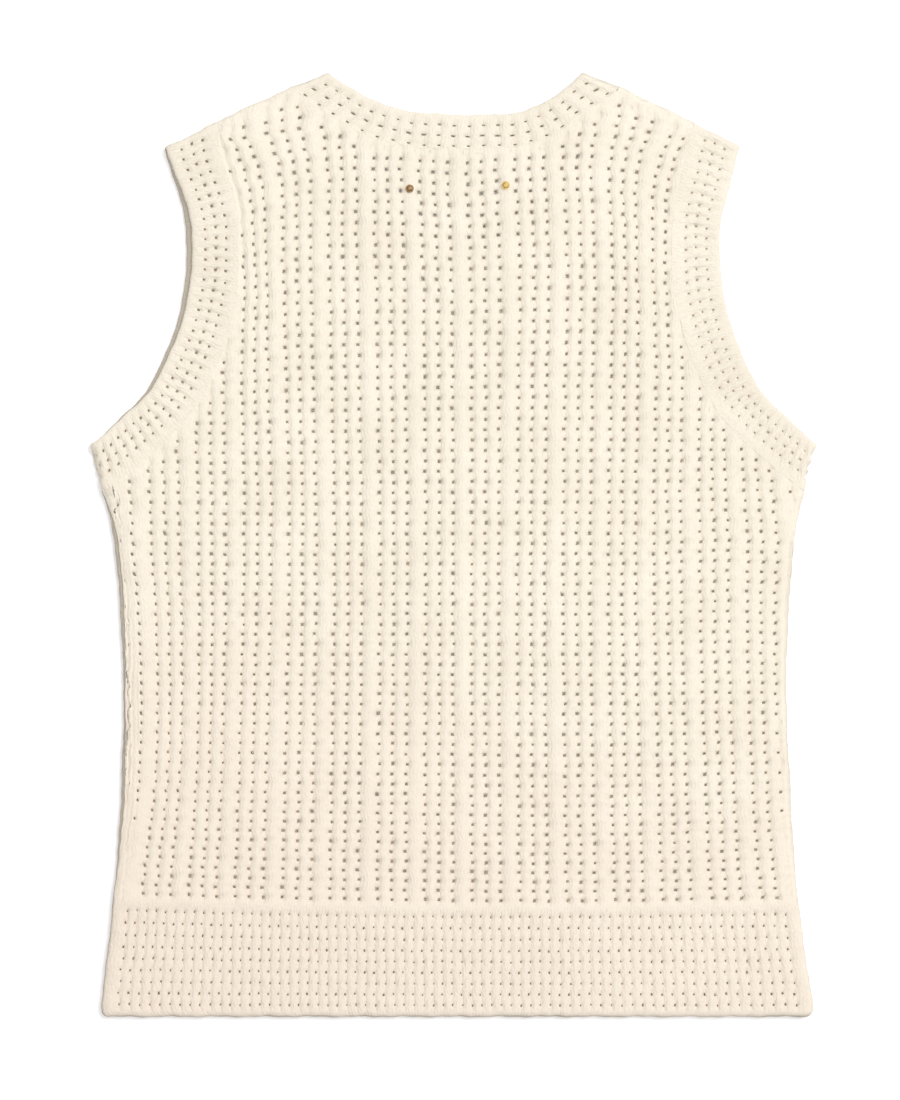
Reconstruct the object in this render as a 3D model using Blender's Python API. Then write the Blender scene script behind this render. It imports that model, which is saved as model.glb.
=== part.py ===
"""Openwork cotton sweater vest, laid flat on a table with its back uppermost.

Front and back panels, a hem band below each, and one band folded round the neck and round each armhole.
Metres, +Z up. The origin is on the table under the middle of the vest, +Y runs from the hem to the neck
and +X to the right of the back. The front layer lies on the table and the back layer lies on it.
"""

import math

import bmesh
import bpy
from mathutils import Vector

# Sizes of the vest as it lies.
LENGTH = 0.5792  # hem edge to neck point, one layer
WALL = 0.0030  # thickness of the knitted cloth
SEAM_GAP = 0.0003  # clearance between two pieces at a seam, and between the two layers
NECK_BAND_WIDTH = 0.022
ARM_BAND_WIDTH = 0.030
HEM_BAND_HEIGHT = 0.070
SLIP = Vector((0.0022, 0.0013))  # how far the vest's upper face has slipped off its lower one

# The hem seam sags between the side edges, and the rows near it sag with it.
SAG = 0.0034
SAG_CENTRE = 0.040
SAG_HALF_WIDTH = 0.210
SAG_FADE = 0.180  # height above the seam over which the rows come level again

# Levels of the two layers above the table.
FRONT_FACE = 0.0
FRONT_INSIDE = WALL
BACK_INSIDE = WALL + SEAM_GAP
BACK_FACE = 2 * WALL + SEAM_GAP
FOLD_LEVEL = BACK_FACE / 2  # middle height of a folded edge
FOLD_RADIUS = (WALL + SEAM_GAP) / 2  # of the middle of the wall, round a fold
FOLD_REACH = BACK_FACE / 2  # how far a fold's outer face stands past its fold line
FOLD_STEPS = 6

# Outlines of the right half. Each row is a point: its distance out from the centre, its height.
BACK_NECK_EDGE = (
    # out, height
    (0.0000, 0.5566),
    (0.0200, 0.5569),
    (0.0363, 0.5594),
    (0.0483, 0.5631),
    (0.0627, 0.5706),
    (0.0780, 0.5817),
)
FRONT_NECK_EDGE = (
    # out, height
    (0.0000, 0.4850),
    (0.0280, 0.4890),
    (0.0500, 0.5040),
    (0.0650, 0.5280),
    (0.0730, 0.5540),
    (0.0780, 0.5817),
)
ARMHOLE_EDGE = (
    # out, height
    (0.1770, 0.5360),
    (0.1716, 0.5154),
    (0.1654, 0.4933),
    (0.1640, 0.4750),
    (0.1655, 0.4510),
    (0.1707, 0.4268),
    (0.1823, 0.3970),
    (0.1930, 0.3802),
    (0.2062, 0.3672),
    (0.2240, 0.3525),
)
SIDE_EDGE = (
    # out, height
    (0.2150, 0.0000),
    (0.2180, 0.0018),
    (0.2188, 0.0060),
    (0.2174, 0.0172),
    (0.2125, 0.0541),
    (0.2089, 0.0910),
    (0.2060, 0.1463),
    (0.2040, 0.2016),
    (0.2063, 0.2570),
    (0.2097, 0.2940),
    (0.2128, 0.3120),
    (0.2162, 0.3235),
)
# Where the shoulder line and the side edge leave each band, at its fold: distance out, height.
NECK_BAND_AT_SHOULDER = (0.1010, 0.5724)
ARM_BAND_AT_SHOULDER = (0.1480, 0.5503)
ARM_BAND_AT_SIDE = (0.2162, 0.3235)

# How many stations each outline is worked out at.
NECK_STATIONS = 19
ARM_STATIONS = 18
FAN_STATIONS = 4  # stations over which a band's sections turn to meet its fold
CURVE_STEPS = 12  # steps between two rows of an outline
SIDE_ROWS = 8
SHOULDER_COLUMNS = 4
HEM_ROWS = 4
BEND_ROWS = 3  # rows below the underarm from which a body panel's rows begin to follow its top edge
TOP_LEAN = 5.0  # how far a body panel's columns near its middle keep upright towards its top edge

# The back layer's soft swells and hollows: each one's centre, its reach both ways and its rise.
SWELLS = (
    # out, height, half width, half length, rise
    (0.000, 0.515, 0.058, 0.034, -0.0012),
    (-0.118, 0.430, 0.034, 0.120, 0.0010),
    (0.112, 0.440, 0.036, 0.110, 0.0012),
    (-0.020, 0.330, 0.040, 0.130, 0.0009),
    (-0.140, 0.215, 0.045, 0.100, 0.0014),
    (0.090, 0.230, 0.050, 0.120, 0.0010),
    (-0.055, 0.150, 0.042, 0.070, 0.0012),
    (0.150, 0.160, 0.040, 0.080, 0.0009),
)

# The vest lies a little askew: how far each height has drifted sideways.
DRIFT = (
    # height, sideways
    (0.000, 0.0012),
    (0.100, 0.0000),
    (0.330, -0.0012),
    (0.420, -0.0022),
    (0.530, -0.0020),
    (0.580, 0.0000),
)

# The left edge has drawn in toward the middle. Both layers have, and the back one a little further.
LEFT_DRAWN_IN = (
    # height, how far in both layers lie
    (0.070, 0.0000),
    (0.130, 0.0014),
    (0.220, 0.0006),
    (0.290, 0.0010),
    (0.324, 0.0000),
    (0.370, 0.0004),
    (0.410, 0.0016),
    (0.435, 0.0020),
    (0.470, 0.0014),
    (0.508, 0.0016),
    (0.532, 0.0000),
)
LEFT_TUCK = (
    # height, how much further in the back layer lies
    (0.080, 0.0000),
    (0.120, 0.0014),
    (0.150, 0.0014),
    (0.195, 0.0004),
    (0.240, 0.0018),
    (0.295, 0.0020),
    (0.322, 0.0000),
    (0.356, 0.0000),
    (0.385, 0.0018),
    (0.440, 0.0022),
    (0.485, 0.0026),
    (0.510, 0.0012),
    (0.530, 0.0000),
)
DRAWN_BETWEEN = (0.105, 0.140)  # distances out over which the drawing in grows to its full amount
TUCK_BETWEEN = (0.125, 0.145)

# The neck's edge droops, most on the right.
NECK_DROOP = (
    # out, droop
    (-0.050, 0.0002),
    (-0.015, 0.0012),
    (0.000, 0.0018),
    (0.020, 0.0022),
    (0.030, 0.0030),
    (0.040, 0.0040),
    (0.050, 0.0039),
    (0.063, 0.0034),
    (0.069, 0.0022),
    (0.075, 0.0000),
)
DROOP_BETWEEN = (0.520, 0.550)  # heights over which it grows to its full amount

# A rounded outer edge: distance in from the outline and the share of the wall that stands there.
ROUNDED_EDGE = (
    # inset, share of wall
    (0.0000, 0.40),
    (0.0010, 0.80),
    (0.0030, 1.00),
)

# Two plain domed studs on the back, below the neck band.
STUDS = (
    # name, out, height
    ("stud_left", -0.0270, 0.5090),
    ("stud_right", 0.0320, 0.5110),
)
STUD_RADIUS = 0.0026
STUD_FLANGE = 0.0006
STUD_RISE = 0.0015
STUD_CLEARANCE = 0.0004
STUD_SIDES = 16
STUD_RINGS = 3

COTTON = (0.800, 0.735, 0.630)
COTTON_BAND = (0.790, 0.720, 0.612)
BRONZE = (0.260, 0.170, 0.090)
BRASS = (0.560, 0.400, 0.150)


def clear_scene():
    for obj in list(bpy.data.objects):
        bpy.data.objects.remove(obj, do_unlink=True)


def make_material(name, colour, roughness, metallic):
    material = bpy.data.materials.new(name)
    material.use_nodes = True
    shader = material.node_tree.nodes["Principled BSDF"]
    shader.inputs["Base Color"].default_value = (*colour, 1.0)
    shader.inputs["Roughness"].default_value = roughness
    shader.inputs["Metallic"].default_value = metallic
    material.diffuse_color = (*colour, 1.0)
    return material


def smooth_between(rows, count):
    """`count` points evenly spaced along a smooth curve through the rows."""
    knots = [Vector(row) for row in rows]
    knots = [2 * knots[0] - knots[1], *knots, 2 * knots[-1] - knots[-2]]
    dense = []
    for before, start, end, after in zip(knots, knots[1:], knots[2:], knots[3:]):
        reach = (end - start).length
        leave = (end - before) * reach / ((start - before).length + reach)
        arrive = (after - start) * reach / ((after - end).length + reach)
        for step in range(CURVE_STEPS):
            t = step / CURVE_STEPS
            dense.append(
                start * (2 * t**3 - 3 * t**2 + 1)
                + leave * (t**3 - 2 * t**2 + t)
                + end * (3 * t**2 - 2 * t**3)
                + arrive * (t**3 - t**2)
            )
    dense.append(knots[-2])
    lengths = [0.0]
    for first, second in zip(dense, dense[1:]):
        lengths.append(lengths[-1] + (second - first).length)
    points = []
    at = 0
    for index in range(count):
        wanted = lengths[-1] * index / (count - 1)
        while at < len(dense) - 2 and lengths[at + 1] < wanted:
            at += 1
        share = (wanted - lengths[at]) / (lengths[at + 1] - lengths[at])
        points.append(dense[at].lerp(dense[at + 1], min(share, 1.0)))
    return points


def mirrored(points):
    return [Vector((-point.x, point.y)) for point in points]


def fold_inset(edge, seam, inside):
    """The fold line from `edge` to `seam`, moved in so that the folded cloth ends at those two points."""
    along = (seam - edge).normalized()
    outward = Vector((along.y, -along.x))
    if outward.dot(inside - edge) > 0:
        outward = -outward
    return edge - outward * FOLD_REACH, seam - outward * FOLD_REACH, outward


def band_stations(edge_points, width, start_fold, end_fold):
    """(edge point, direction across, width) at each station of a band, fanned to the fold at each end."""
    stations = []
    last = len(edge_points) - 1
    for index, point in enumerate(edge_points):
        ahead = edge_points[min(index + 1, last)] - edge_points[max(index - 1, 0)]
        square = Vector((ahead.y, -ahead.x)).normalized()
        across = square * width
        for (fold_edge, fold_seam), steps in ((start_fold, index), (end_fold, last - index)):
            share = max(0.0, 1 - steps / FAN_STATIONS) ** 1.5
            across = across.lerp(fold_seam - fold_edge, share)
        stations.append((point, across.normalized(), across.length))
    return stations


def folded_band(name, upper, lower, start_outward, end_outward, material):
    """A band that runs out along the back layer, folds over, runs home along the front and folds again."""
    upper_level = (BACK_INSIDE + BACK_FACE) / 2
    lower_level = (FRONT_FACE + FRONT_INSIDE) / 2
    up = Vector((0, 0, 1))
    rings = []
    for station in upper:
        rings.append(band_ring(station, upper_level, Vector((0, 0)), up))
    rings += fold_rings(upper[-1], end_outward, 1)
    for station in reversed(lower):
        rings.append(band_ring(station, lower_level, Vector((0, 0)), -up))
    rings += fold_rings(upper[0], start_outward, -1)
    return loft_ring(name, rings, material)


def fold_rings(station, outward, turn):
    rings = []
    for step in range(1, FOLD_STEPS):
        angle = math.pi * step / FOLD_STEPS
        if turn < 0:
            angle = math.pi - angle
        shift = outward * FOLD_RADIUS * math.sin(angle)
        level = FOLD_LEVEL + FOLD_RADIUS * math.cos(angle)
        normal = Vector((outward.x * math.sin(angle), outward.y * math.sin(angle), math.cos(angle)))
        rings.append(band_ring(station, level, shift, normal))
    return rings


def band_ring(station, level, shift, normal):
    """The band's cross-section at a station: its free edge is rounded, its seam edge is square."""
    edge, across, width = station
    origin = Vector((edge.x + shift.x, edge.y + shift.y, level))
    run = Vector((across.x, across.y, 0))
    half = WALL / 2
    corner = ROUNDED_EDGE[1][0]
    profile = (
        (width, half),
        (corner, half),
        (0.0, half * ROUNDED_EDGE[0][1]),
        (0.0, -half * ROUNDED_EDGE[0][1]),
        (corner, -half),
        (width, -half),
    )
    return [origin + run * inward + normal * rise for inward, rise in profile]


def loft_ring(name, rings, material):
    """One closed solid through the rings, the last joined to the first."""
    mesh = bmesh.new()
    loops = [[mesh.verts.new(point) for point in ring] for ring in rings]
    for here, there in zip(loops, loops[1:] + loops[:1]):
        for corner in range(len(here)):
            other = (corner + 1) % len(here)
            mesh.faces.new((here[corner], here[other], there[other], there[corner]))
    return finish(name, mesh, material)


def half_width_rows(low, high, count):
    """(height, half width) along the side edge, evenly spaced in height."""
    points = smooth_between(SIDE_EDGE, CURVE_STEPS * len(SIDE_EDGE))
    rows = []
    for index in range(count):
        height = low + (high - low) * index / (count - 1)
        after = next(i for i, point in enumerate(points) if point.y >= height - 1e-9)
        first, second = points[max(after - 1, 0)], points[max(after, 1)]
        share = (height - first.y) / (second.y - first.y)
        rows.append((height, first.x + (second.x - first.x) * share))
    return rows


def laid_panel(name, columns, rows, place, share, inside, face, material):
    """A knitted panel: its inner side is a grid of `place` points, and its wall stands out to `face`."""
    mesh = bmesh.new()
    bmesh.ops.create_grid(mesh, x_segments=columns - 1, y_segments=rows - 1, size=1)
    wall = mesh.verts.layers.float.new("wall")
    for vert in mesh.verts:
        column = round((vert.co.x + 1) / 2 * (columns - 1))
        row = round((vert.co.y + 1) / 2 * (rows - 1))
        out, height = place(column, row)
        vert.co = (out, height, inside)
        vert[wall] = share(column, row) * (face - inside)
    grown = bmesh.ops.extrude_face_region(mesh, geom=mesh.faces[:])["geom"]
    for part in grown:
        if isinstance(part, bmesh.types.BMVert):
            part.co.z += part[wall]
    return finish(name, mesh, material)


def between_rows(table, at):
    """The value of a (place, value) table at a place, in a straight line between its rows."""
    at = max(at, table[0][0])
    for (start, first), (end, second) in zip(table, table[1:]):
        if at <= end:
            return first + (second - first) * (at - start) / (end - start)
    return table[-1][1]


def sag_at(out, height):
    """How far the rows have sagged at a point of the stacked vest."""
    if height < HEM_BAND_HEIGHT:
        share = height / HEM_BAND_HEIGHT
    else:
        share = max(0.0, 1 - (height - HEM_BAND_HEIGHT) / SAG_FADE) ** 2
    return SAG * share * (1 - ((out - SAG_CENTRE) / SAG_HALF_WIDTH) ** 2)


def soft_step(at, start, end):
    """0 up to the start, 1 from the end, and a soft step between."""
    share = max(0.0, min(1.0, (at - start) / (end - start)))
    return share * share * (3 - 2 * share)


def drawn_in(out, height, lifted):
    """How far in a point near the left edge lies. lifted is 1 in the back layer and 0 in the front one."""
    drawn = between_rows(LEFT_DRAWN_IN, height) * soft_step(-out, *DRAWN_BETWEEN)
    return drawn + lifted * between_rows(LEFT_TUCK, height) * soft_step(-out, *TUCK_BETWEEN)


def settle(point):
    """Where a point of the neatly stacked vest lies on the table: it drifts and sags, and its back swells."""
    lifted = max(0.0, min(1.0, (point.z - FRONT_INSIDE) / SEAM_GAP))
    droop = between_rows(NECK_DROOP, point.x) * soft_step(point.y, *DROOP_BETWEEN)
    slip = SLIP * (point.z - FOLD_LEVEL) / BACK_FACE
    slip.x += between_rows(DRIFT, point.y) + drawn_in(point.x, point.y, lifted)
    slip.y -= sag_at(point.x, point.y) + droop
    rise = 0.0
    for out, height, half_width, half_length, top in SWELLS:
        near = 1 - ((point.x - out) / half_width) ** 2 - ((point.y - height) / half_length) ** 2
        rise += top * max(0.0, near) ** 2
    return Vector((point.x + slip.x, point.y + slip.y - LENGTH / 2, point.z + rise * lifted))


def finish(name, mesh, material):
    for vert in mesh.verts:
        vert.co = settle(vert.co)
    bmesh.ops.recalc_face_normals(mesh, faces=mesh.faces)
    data = bpy.data.meshes.new(name)
    mesh.to_mesh(data)
    mesh.free()
    data.materials.append(material)
    data.shade_smooth()
    data.set_sharp_from_angle(angle=math.radians(40))
    piece = bpy.data.objects.new(name, data)
    vest.objects.link(piece)
    piece.parent = root
    return piece


def make_stud(name, out, height, material):
    """A domed stud on a thin flange, its underside a seam gap above the cloth."""
    seat = settle(Vector((out, height, BACK_FACE)))
    profile = [(0.0, 0.0), (STUD_RADIUS, 0.0), (STUD_RADIUS, STUD_FLANGE)]
    dome = STUD_RADIUS - STUD_FLANGE
    for ring in range(STUD_RINGS):
        angle = math.pi / 2 * ring / STUD_RINGS
        profile.append((dome * math.cos(angle), STUD_FLANGE + (STUD_RISE - STUD_FLANGE) * math.sin(angle)))
    profile.append((0.0, STUD_RISE))
    mesh = bmesh.new()
    points = [mesh.verts.new((radius, 0, level)) for radius, level in profile]
    edges = [mesh.edges.new(pair) for pair in zip(points, points[1:])]
    bmesh.ops.spin(
        mesh, geom=points + edges, axis=(0, 0, 1), angle=math.tau, steps=STUD_SIDES, use_merge=True
    )
    bmesh.ops.remove_doubles(mesh, verts=mesh.verts, dist=1e-6)
    bmesh.ops.recalc_face_normals(mesh, faces=mesh.faces)
    data = bpy.data.meshes.new(name)
    mesh.to_mesh(data)
    mesh.free()
    data.materials.append(material)
    data.shade_smooth()
    data.set_sharp_from_angle(angle=math.radians(40))
    piece = bpy.data.objects.new(name, data)
    piece.location = seat + Vector((0, 0, STUD_CLEARANCE))
    vest.objects.link(piece)
    piece.parent = root
    return piece


def neck_stations(table):
    """The neck band's stations from the left fold to the right one, and the outward side of each fold."""
    peak = Vector(table[-1])
    at_shoulder = Vector(NECK_BAND_AT_SHOULDER)
    edge, seam, outward = fold_inset(peak, at_shoulder, Vector((0, 0)))
    half = smooth_between((*table[:-1], edge), NECK_STATIONS // 2 + 1)
    edge_points = mirrored(half[:0:-1]) + half
    left = (Vector((-edge.x, edge.y)), Vector((-seam.x, seam.y)))
    stations = band_stations(edge_points, NECK_BAND_WIDTH, left, (edge, seam))
    return stations, Vector((-outward.x, outward.y)), outward


def arm_stations(side):
    """An armhole band's stations from the shoulder to the underarm, for side 1 (right) or -1 (left)."""
    tip = Vector(ARMHOLE_EDGE[0])
    shoulder = fold_inset(tip, Vector(ARM_BAND_AT_SHOULDER), Vector((0, 0)))
    point = Vector(ARMHOLE_EDGE[-1])
    underarm = fold_inset(point, Vector(ARM_BAND_AT_SIDE), Vector((0, point.y)))
    edge_points = smooth_between((shoulder[0], *ARMHOLE_EDGE[1:-1], underarm[0]), ARM_STATIONS)
    stations = band_stations(edge_points, ARM_BAND_WIDTH, shoulder[:2], underarm[:2])
    if side > 0:
        return stations, shoulder[2], underarm[2]
    flip = Vector((-1, 1))
    stations = [(edge * flip, across * flip, width) for edge, across, width in stations]
    return stations, shoulder[2] * flip, underarm[2] * flip


def seam_points(stations, gap):
    return [edge + across * (width + gap) for edge, across, width in stations]


def past_seam(edge, seam):
    """The outline's point a seam gap past a band's seam, where the band's fold runs from edge to seam."""
    edge, seam = Vector(edge), Vector(seam)
    return seam + (seam - edge).normalized() * SEAM_GAP


def body_grid(neck):
    """The grid of a body panel under the neck band of these stations: (columns, rows, place, share)."""
    arm = seam_points(arm_stations(1)[0], SEAM_GAP)[::-1]
    underarm = past_seam(ARMHOLE_EDGE[-1], ARM_BAND_AT_SIDE)
    shoulder_out, shoulder_height = past_seam(ARMHOLE_EDGE[0], ARM_BAND_AT_SHOULDER)
    sides = half_width_rows(HEM_BAND_HEIGHT + SEAM_GAP, underarm.y, SIDE_ROWS)[:-1]
    sides.append((underarm.y, underarm.x))
    sides += [(point.y, point.x) for point in arm]
    # A close row below the shoulder line, and close columns at the outline, carry the rounded edge.
    rim = ROUNDED_EDGE[1][0] / (shoulder_height - sides[-1][0])
    sides.append((shoulder_height - ROUNDED_EDGE[1][0], shoulder_out + (sides[-1][1] - shoulder_out) * rim))
    sides.append((shoulder_height, shoulder_out))
    neck_end = past_seam(BACK_NECK_EDGE[-1], NECK_BAND_AT_SHOULDER)
    slope = (shoulder_height - neck_end.y) / (shoulder_out - neck_end.x)
    beyond = []
    for step in range(SHOULDER_COLUMNS + 1):
        out = neck_end.x + (shoulder_out - neck_end.x) * step / SHOULDER_COLUMNS
        beyond.append(Vector((out, neck_end.y + (out - neck_end.x) * slope)))
    for inset, _ in ROUNDED_EDGE[1:]:
        out = shoulder_out * (1 - inset / sides[0][1])
        beyond.append(Vector((out, neck_end.y + (out - neck_end.x) * slope)))
    beyond.sort(key=lambda point: point.x)
    top = mirrored(beyond[::-1]) + seam_points(neck, SEAM_GAP) + beyond
    last_column = len(top) - 1
    last_row = len(sides) - 1
    corner_row = SIDE_ROWS - 1
    bend_from = sides[corner_row - BEND_ROWS][0]
    shares = [part for _, part in ROUNDED_EDGE]

    def place(column, row):
        height, half_width = sides[row]
        across = top[column].x / shoulder_out
        bend = max(0.0, height - bend_from) / (shoulder_height - bend_from)
        lean = math.copysign(abs(across) ** (1 + TOP_LEAN * bend), across)
        lift = top[column].y - shoulder_height
        if last_row - row < len(shares):
            bend = 1.0
        return top[column].x + (half_width - shoulder_out) * lean, height + lift * bend

    def share(column, row):
        at_side = min(column, last_column - column)
        on_side = shares[at_side] if at_side < len(shares) and row <= corner_row else 1.0
        at_top = last_row - row
        on_shoulder = abs(top[column].x) >= neck_end.x - 1e-9
        on_top = shares[at_top] if at_top < len(shares) and on_shoulder else 1.0
        return min(on_side, on_top)

    return len(top), len(sides), place, share, [point.x / shoulder_out for point in top]


def hem_grid(across):
    """The grid of a hem band half under a body panel whose columns stand at these shares of its width."""
    insets = [inset for inset, _ in ROUNDED_EDGE]
    shares = [part for _, part in ROUNDED_EDGE]
    spread = half_width_rows(insets[-1], HEM_BAND_HEIGHT, HEM_ROWS)
    near_edge = [half_width_rows(inset, HEM_BAND_HEIGHT, 2)[0] for inset in insets[:-1]]
    sides = near_edge + spread
    last_column = len(across) - 1

    def place(column, row):
        height, half_width = sides[row]
        return across[column] * half_width, height

    def share(column, row):
        at_side = min(column, last_column - column)
        on_side = shares[at_side] if at_side < len(shares) else 1.0
        on_hem = shares[row] if row < len(shares) else 1.0
        return min(on_side, on_hem)

    return len(across), len(sides), place, share


def build():
    knit = make_material("ivory_openwork_knit", COTTON, 0.85, 0.0)
    band_knit = make_material("ivory_band_knit", COTTON_BAND, 0.85, 0.0)
    bronze = make_material("bronze", BRONZE, 0.40, 1.0)
    brass = make_material("brass", BRASS, 0.35, 1.0)

    back_neck, left_outward, right_outward = neck_stations(BACK_NECK_EDGE)
    front_neck = neck_stations(FRONT_NECK_EDGE)[0]
    folded_band("neck_band", back_neck, front_neck, left_outward, right_outward, band_knit)
    for name, side in (("armhole_band_left", -1), ("armhole_band_right", 1)):
        stations, at_shoulder, at_underarm = arm_stations(side)
        folded_band(name, stations, stations, at_shoulder, at_underarm, band_knit)

    for layer, neck, inside, face in (
        ("back", back_neck, BACK_INSIDE, BACK_FACE),
        ("front", front_neck, FRONT_INSIDE, FRONT_FACE),
    ):
        columns, rows, place, share, across = body_grid(neck)
        laid_panel(layer + "_panel", columns, rows, place, share, inside, face, knit)
        columns, rows, place, share = hem_grid(across)
        laid_panel("hem_band_" + layer, columns, rows, place, share, inside, face, band_knit)

    for (name, out, height), metal in zip(STUDS, (bronze, brass)):
        make_stud(name, out, height, metal)


clear_scene()
vest = bpy.data.collections.new("sweater_vest")
bpy.context.scene.collection.children.link(vest)
root = bpy.data.objects.new("sweater_vest", None)
vest.objects.link(root)
build()
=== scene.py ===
"""Openwork cotton sweater vest laid flat with its back uppermost: knitted cloth, studs and light."""

import math
import random
from collections import namedtuple

import bmesh
import bpy
import numpy as np
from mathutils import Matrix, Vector


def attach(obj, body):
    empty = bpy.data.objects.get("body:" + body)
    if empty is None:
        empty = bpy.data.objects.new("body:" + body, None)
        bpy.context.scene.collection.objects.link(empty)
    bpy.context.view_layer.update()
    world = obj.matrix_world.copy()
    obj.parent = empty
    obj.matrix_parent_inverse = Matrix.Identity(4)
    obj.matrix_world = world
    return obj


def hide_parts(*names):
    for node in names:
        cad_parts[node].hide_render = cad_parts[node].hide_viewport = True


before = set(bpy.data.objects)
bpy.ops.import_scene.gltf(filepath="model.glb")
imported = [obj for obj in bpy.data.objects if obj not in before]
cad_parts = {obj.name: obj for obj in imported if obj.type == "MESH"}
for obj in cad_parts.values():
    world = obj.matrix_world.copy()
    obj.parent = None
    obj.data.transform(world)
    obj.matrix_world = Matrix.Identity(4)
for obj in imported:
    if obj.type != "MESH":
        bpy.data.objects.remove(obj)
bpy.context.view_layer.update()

# Sizes of the vest as it lies, in metres, as in the CAD. Heights are measured up from the hem's edge.
LENGTH = 0.5792
WALL = 0.003
SEAM_GAP = 0.0003
NECK_BAND_WIDTH = 0.022
ARM_BAND_WIDTH = 0.03
HEM_BAND_HEIGHT = 0.07
SLIP = Vector((0.0022, 0.0013))
SAG = 0.0034
SAG_CENTRE = 0.04
SAG_HALF_WIDTH = 0.21
SAG_FADE = 0.18

FRONT_FACE = 0.0
FRONT_INSIDE = WALL
BACK_INSIDE = WALL + SEAM_GAP
BACK_FACE = 2 * WALL + SEAM_GAP
FOLD_LEVEL = BACK_FACE / 2
FOLD_RADIUS = (WALL + SEAM_GAP) / 2
FOLD_REACH = BACK_FACE / 2
FOLD_STEPS = 6

# Each edge's points on the right, as (out, height).
BACK_NECK_EDGE = (
    (0.0, 0.5566), (0.02, 0.5569), (0.0363, 0.5594), (0.0483, 0.5631), (0.0627, 0.5706), (0.078, 0.5817),
)
FRONT_NECK_EDGE = (
    (0.0, 0.485), (0.028, 0.489), (0.05, 0.504), (0.065, 0.528), (0.073, 0.554), (0.078, 0.5817),
)
ARMHOLE_EDGE = (
    (0.177, 0.536), (0.1716, 0.5154), (0.1654, 0.4933), (0.164, 0.475), (0.1655, 0.451), (0.1707, 0.4268),
    (0.1823, 0.397), (0.193, 0.3802), (0.2062, 0.3672), (0.224, 0.3525),
)
SIDE_EDGE = (
    (0.215, 0.0), (0.218, 0.0018), (0.2188, 0.006), (0.2174, 0.0172), (0.2125, 0.0541), (0.2089, 0.091),
    (0.206, 0.1463), (0.204, 0.2016), (0.2063, 0.257), (0.2097, 0.294), (0.2128, 0.312), (0.2162, 0.3235),
)
NECK_BAND_AT_SHOULDER = (0.101, 0.5724)
ARM_BAND_AT_SHOULDER = (0.148, 0.5503)
ARM_BAND_AT_SIDE = (0.2162, 0.3235)
NECK_STATIONS = 19
ARM_STATIONS = 18
FAN_STATIONS = 4
CURVE_STEPS = 12

SWELLS = (
    # out, height, half width, half length, rise
    (0.0, 0.515, 0.058, 0.034, -0.0012),
    (-0.118, 0.43, 0.034, 0.12, 0.001),
    (0.112, 0.44, 0.036, 0.11, 0.0012),
    (-0.02, 0.33, 0.04, 0.13, 0.0009),
    (-0.14, 0.215, 0.045, 0.1, 0.0014),
    (0.09, 0.23, 0.05, 0.12, 0.001),
    (-0.055, 0.15, 0.042, 0.07, 0.0012),
    (0.15, 0.16, 0.04, 0.08, 0.0009),
)
DRIFT = (
    # height, sideways
    (0.0, 0.0012), (0.1, 0.0), (0.33, -0.0012), (0.42, -0.0022), (0.53, -0.002), (0.58, 0.0),
)

# The left edge has drawn in toward the middle. Both layers have, and the back one a little further.
LEFT_DRAWN_IN = (
    # height, how far in both layers lie
    (0.07, 0.0), (0.13, 0.0014), (0.22, 0.0006), (0.29, 0.001), (0.324, 0.0), (0.37, 0.0004),
    (0.41, 0.0016), (0.435, 0.002), (0.47, 0.0014), (0.508, 0.0016), (0.532, 0.0),
)
LEFT_TUCK = (
    # height, how much further in the back layer lies
    (0.08, 0.0), (0.12, 0.0014), (0.15, 0.0014), (0.195, 0.0004), (0.24, 0.0018), (0.295, 0.002),
    (0.322, 0.0), (0.356, 0.0), (0.385, 0.0018), (0.44, 0.0022), (0.485, 0.0026), (0.51, 0.0012),
    (0.53, 0.0),
)
DRAWN_BETWEEN = (0.105, 0.14)  # distances out over which the drawing in grows to its full amount
TUCK_BETWEEN = (0.125, 0.145)

# The neck's edge droops, most on the right.
NECK_DROOP = (
    # out, droop
    (-0.05, 0.0002), (-0.015, 0.0012), (0.0, 0.0018), (0.02, 0.0022), (0.03, 0.003), (0.04, 0.004),
    (0.05, 0.0039), (0.063, 0.0034), (0.069, 0.0022), (0.075, 0.0),
)
DROOP_BETWEEN = (0.52, 0.55)  # heights over which it grows to its full amount

# How the cloth wanders: how far, wave length across, wave length along, start.
SIDEWAYS_WANDER = ((0.00018, 0.11, 0.043, 0.0), (0.00014, 0.031, 0.0123, 1.3))
LENGTHWAYS_WANDER = ((0.00026, 0.029, 0.13, 2.1), (0.00018, 0.0119, 0.037, 0.4))
HEIGHT_WANDER = ((0.00016, 0.041, 0.023, 0.9), (0.00012, 0.0173, 0.029, 2.6))
SEAM_CLEARANCE = -0.0003  # a panel laps this far onto its band
SEAM_LINE = 0.0001  # points nearer a seam than this are on it
RIM_APART = 0.0005  # points of a cut rim closer than this become one
RING_APART = 0.00001  # the same where a ring closes

# The body's knit: columns of eyelets in groups of three with a wide rib between, in slightly curved rows.
GROUPS_EACH_WAY = 8
RIBS_EACH_WAY = 2  # the ribs beside the middle one that have a line of their own
IN_GROUP = 0.297  # distance between two columns of a group, as a share of the group's width
USUAL_GROUP = 0.0283
USUAL_ROW = 0.0063
BODY_ROWS = 82
ROW_HEIGHTS = (
    # row, height
    (-1, 0.0691), (0, 0.0748), (12, 0.1443), (24, 0.2167), (36, 0.2908), (48, 0.3674), (60, 0.4461),
    (72, 0.5248), (82, 0.59),
)
GROUP_WIDTHS = (
    # height, width of a group
    (0.07, 0.0293), (0.12, 0.0289), (0.18, 0.0285), (0.25, 0.0281), (0.32, 0.0283), (0.37, 0.0288),
    (0.44, 0.0291), (0.53, 0.0292),
)
OUTER_GROUPS_FROM = 4.7  # the groups past this one lie unevenly
OUTER_GROUP = 6.5
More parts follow.
